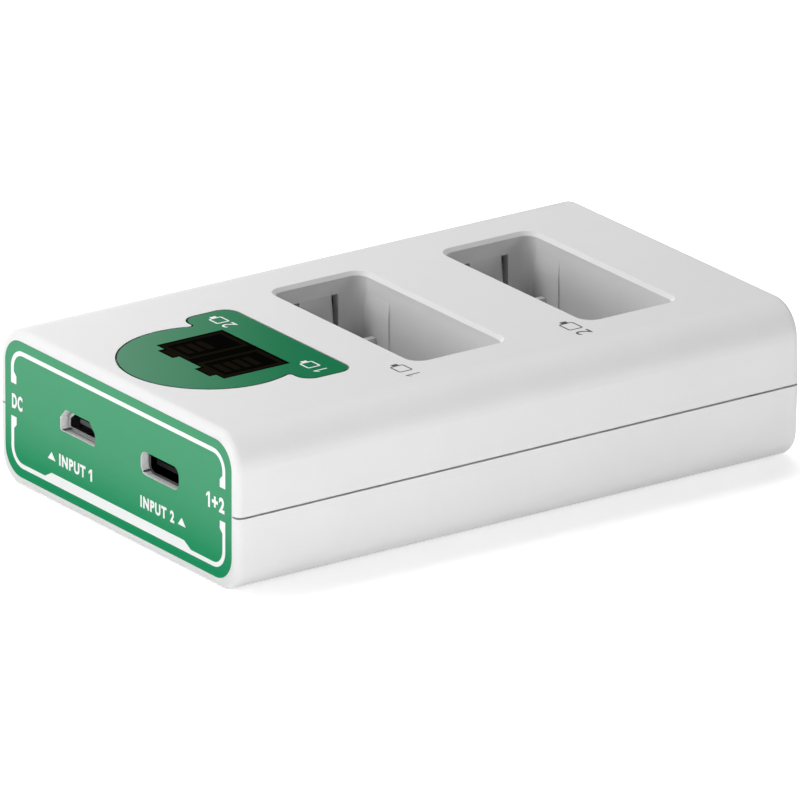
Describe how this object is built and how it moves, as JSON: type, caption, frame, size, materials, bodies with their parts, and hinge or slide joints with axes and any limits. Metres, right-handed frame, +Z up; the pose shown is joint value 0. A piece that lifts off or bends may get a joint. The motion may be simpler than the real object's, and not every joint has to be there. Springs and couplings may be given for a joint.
{
  "type": "camera battery charger",
  "caption": "Flat white two-part case with open-topped battery bays, a round green display bezel and a green end plate with charging ports; charges camera battery packs.",
  "frame": {"origin": "middle of the base, on the surface that the charger stands on", "axes": "+Z up, +Y along the case away from the port end, +X to the right when the port end is faced"},
  "size_m": [0.0612, 0.1, 0.0242],
  "materials": {
    "case_white": "satin moulded",
    "plate_green": "semi-gloss with white print",
    "bezel_green": "polished",
    "screen_smoke": "polished, smoked",
    "panel_glass": "display glass",
    "frame_white": "matt moulded",
    "tinned_steel": "tinned",
    "lamp_white": "moulded",
    "board_green": "solder mask",
    "port_steel": "nickel plated",
    "port_black": "moulded",
    "port_grey": "moulded",
    "chip_black": "moulded",
    "coil_ferrite": "ferrite",
    "capacitor_can": "sleeved can",
    "contact_brass": "gold flashed",
    "screw_steel": "zinc plated"
  },
  "bodies": {
    "root": {"top_shell": "case_white", "bottom_shell": "case_white", "port_plate": "plate_green", "display_bezel": "bezel_green", "display_screen": "screen_smoke", "display_panel": "panel_glass", "panel_frame": "frame_white", "panel_pins": "tinned_steel", "backlight_lamps": "lamp_white", "main_board": "board_green", "oval_port_shell": "port_steel", "oval_port_tongue": "port_black", "trapezoid_port_shell": "port_steel", "trapezoid_port_tongue": "port_grey", "control_chip": "chip_black", "charge_chips": "chip_black", "power_coils": "coil_ferrite", "board_capacitors": "capacitor_can", "contact_board": "board_green", "link_header": "port_black", "link_pins": "contact_brass", "contact_holder_1": "case_white", "contact_holder_2": "case_white", "contact_blades_1": "contact_brass", "contact_blades_2": "contact_brass", "case_screws": "screw_steel", "board_screws": "screw_steel"}
  },
  "joints": []
}
